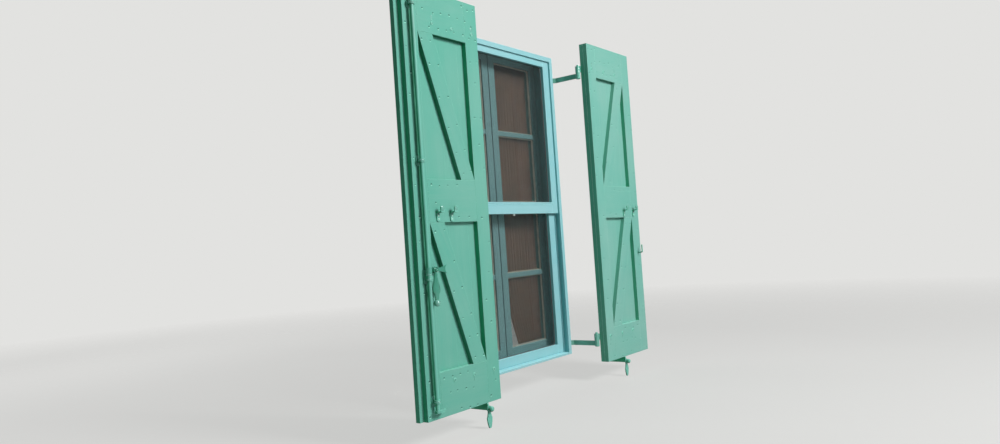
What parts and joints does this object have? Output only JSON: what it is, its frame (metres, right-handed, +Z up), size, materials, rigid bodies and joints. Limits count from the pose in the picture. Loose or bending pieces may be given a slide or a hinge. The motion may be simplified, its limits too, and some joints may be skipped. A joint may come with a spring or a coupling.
{
  "type": "window shutters with window frame",
  "caption": "Ledged and braced timber shutters on pintles with locking rod and wall stops, round a window frame with sliding insect screens and an inward casement.",
  "frame": {"origin": "middle of the window frame's underside, half way through its depth", "axes": "+X to the right along the wall seen from the street, +Y into the wall, +Z up"},
  "size_m": [1.839, 0.3953, 1.773],
  "materials": {
    "shutter_paint": "aged satin oil paint on softwood",
    "hardware_paint": "brush painted iron, slightly glossy",
    "frame_paint": "satin paint, lighter and bluer than the leaves",
    "casement_paint": "dull grey green paint",
    "insect_mesh": "fine dark woven screen",
    "window_glass": "clear float glass",
    "curtain_net": "brown gathered net",
    "rod_brass": "dull brass"
  },
  "bodies": {
    "window_frame": {"left_jamb": "frame_paint", "right_jamb": "frame_paint", "frame_head": "frame_paint", "frame_sill": "frame_paint", "upper_screen_sash": "frame_paint", "upper_screen": "insect_mesh", "screen_latch": "frame_paint", "left_pintles": "hardware_paint", "right_pintles": "hardware_paint", "stop_stems": "hardware_paint", "stop_balls": "hardware_paint", "casement_hinge_pins": "casement_paint"},
    "left_leaf": {"left_boards": "shutter_paint", "left_free_stile": "shutter_paint", "left_hinge_stile": "shutter_paint", "left_bottom_rail": "shutter_paint", "left_middle_rail": "shutter_paint", "left_top_rail": "shutter_paint", "left_lower_brace": "shutter_paint", "left_upper_brace": "shutter_paint", "left_straps": "hardware_paint", "left_strap_bolts": "hardware_paint", "left_bar_cradles": "hardware_paint", "rod_guides": "hardware_paint"},
    "right_leaf": {"right_boards": "shutter_paint", "right_free_stile": "shutter_paint", "right_hinge_stile": "shutter_paint", "right_bottom_rail": "shutter_paint", "right_middle_rail": "shutter_paint", "right_top_rail": "shutter_paint", "right_lower_brace": "shutter_paint", "right_upper_brace": "shutter_paint", "right_straps": "hardware_paint", "right_strap_bolts": "hardware_paint", "right_bar_cradles": "hardware_paint", "handle_catch": "hardware_paint"},
    "locking_rod_body": {"locking_rod": "hardware_paint", "handle_arm": "hardware_paint", "handle_rivet": "hardware_paint"},
    "handle_body": {"handle": "hardware_paint"},
    "left_stop": {"left_stop_blade": "hardware_paint"},
    "right_stop": {"right_stop_blade": "hardware_paint"},
    "lower_sash": {"lower_screen_sash": "frame_paint", "lower_screen": "insect_mesh"},
    "left_casement_leaf": {"left_casement": "casement_paint", "left_glazing_bars": "casement_paint", "left_panes": "window_glass", "left_casement_knuckles": "casement_paint", "left_curtain_rod": "rod_brass", "left_curtain": "curtain_net"},
    "right_casement_leaf": {"right_casement": "casement_paint", "right_glazing_bars": "casement_paint", "right_panes": "window_glass", "right_casement_knuckles": "casement_paint", "right_curtain_rod": "rod_brass", "right_curtain": "curtain_net"}
  },
  "joints": [
    {"name": "left_leaf_hinge", "type": "hinge", "parent": "window_frame", "child": "left_leaf", "pos_m": [-0.455, -0.2135, 0], "axis": [0, 0, 1], "range_deg": [0, 180]},
    {"name": "right_leaf_hinge", "type": "hinge", "parent": "window_frame", "child": "right_leaf", "pos_m": [0.455, -0.2135, 0], "axis": [0, 0, -1], "range_deg": [0, 180]},
    {"name": "locking_rod_turn", "type": "hinge", "parent": "left_leaf", "child": "locking_rod_body", "pos_m": [-0.8755, -0.2925, 0], "axis": [0, 0, -1], "range_deg": [0, 180]},
    {"name": "handle_lift", "type": "hinge", "parent": "locking_rod_body", "child": "handle_body", "pos_m": [-0.8455, -0.2988, 0.5243], "axis": [0, -1, 0], "range_deg": [0, 90]},
    {"name": "left_stop_turn", "type": "hinge", "parent": "window_frame", "child": "left_stop", "pos_m": [-0.5505, -0.2758, -0.066], "axis": [0, 1, 0], "range_deg": [0, 180]},
    {"name": "right_stop_turn", "type": "hinge", "parent": "window_frame", "child": "right_stop", "pos_m": [0.6405, -0.2758, -0.066], "axis": [0, -1, 0], "range_deg": [0, 180]},
    {"name": "lower_sash_slide", "type": "slide", "parent": "window_frame", "child": "lower_sash", "axis": [0, 0, 1], "range_m": [0, 0.75]},
    {"name": "left_casement_hinge", "type": "hinge", "parent": "window_frame", "child": "left_casement_leaf", "pos_m": [-0.41225, 0.079, 0], "axis": [0, 0, 1], "range_deg": [0, 100]},
    {"name": "right_casement_hinge", "type": "hinge", "parent": "window_frame", "child": "right_casement_leaf", "pos_m": [0.41225, 0.079, 0], "axis": [0, 0, -1], "range_deg": [0, 100]}
  ]
}
